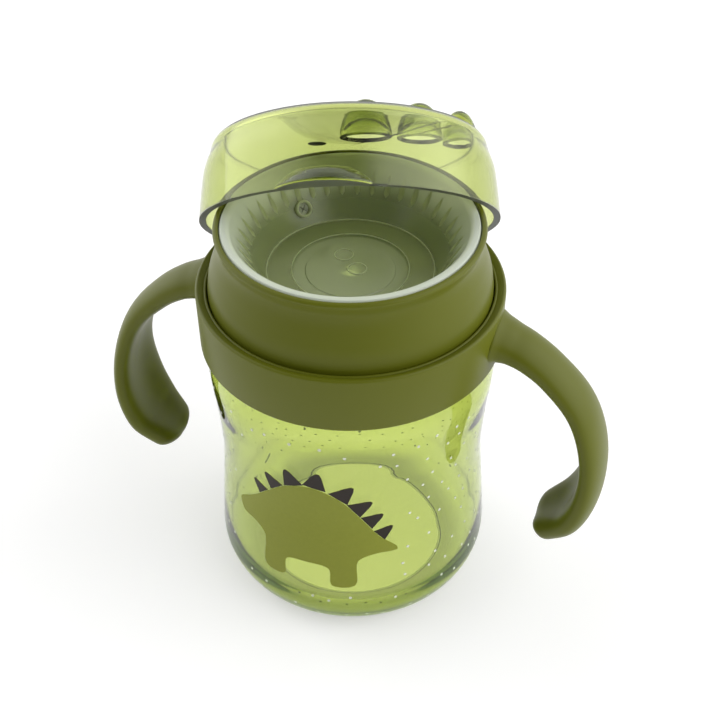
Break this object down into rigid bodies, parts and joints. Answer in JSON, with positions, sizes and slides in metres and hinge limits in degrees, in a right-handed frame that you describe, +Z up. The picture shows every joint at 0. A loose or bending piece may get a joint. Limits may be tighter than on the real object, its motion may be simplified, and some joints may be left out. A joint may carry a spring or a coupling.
{
  "type": "sippy cup",
  "caption": "Training cup with a waisted clear body, a ring of two drooping paddle handles, a screwed drinking ring with a silicone valve dish, and a tilted clear travel cap with fins.",
  "frame": {"origin": "centre of the flat underside of the cup body, on its axis", "axes": "+Z up along the cup's axis; -Y is the front, the side away from where the cap hangs; +X to the right; the line of the handles is turned -19.4 degrees about Z from +X"},
  "size_m": [0.132, 0.094, 0.1333],
  "materials": {
    "clear_green": "clear glossy",
    "olive_plastic": "satin",
    "milky_silicone": "satin"
  },
  "bodies": {
    "cup": {"cup_body": "clear_green"},
    "handles": {"handle_ring": "olive_plastic", "handle_left": "olive_plastic", "handle_right": "olive_plastic"},
    "lid_seal": {"lid_gasket": "milky_silicone"},
    "lid": {"lid_ring": "olive_plastic", "drinking_grid": "olive_plastic"},
    "valve": {"silicone_valve": "milky_silicone"},
    "cap": {"cap_shell": "clear_green", "cap_fins": "clear_green"}
  },
  "joints": [
    {"name": "handle_turn", "type": "hinge", "parent": "cup", "child": "handles", "pos_m": [0, 0, 0.083], "axis": [0, 0, 1], "range_deg": [-10, 45]},
    {"name": "thread_rise", "type": "slide", "parent": "cup", "child": "lid_seal", "axis": [0, 0, 1], "range_m": [0, 0.006]},
    {"name": "lid_unscrew", "type": "hinge", "parent": "lid_seal", "child": "lid", "pos_m": [0, 0, 0.09], "axis": [0, 0, 1], "range_deg": [0, 540]},
    {"name": "valve_breathe", "type": "slide", "parent": "lid", "child": "valve", "axis": [0, 0, 1], "range_m": [0, 0.001], "stiffness_N_per_m": 1500},
    {"name": "cap_lift_off", "type": "slide", "parent": "lid_seal", "child": "cap", "axis": [0, 0.7373, 0.6756], "range_m": [0, 0.06]}
  ],
  "couplings": [
    {"joint": "thread_rise", "follows": "lid_unscrew", "m_per_rad": 0.00063662}
  ]
}
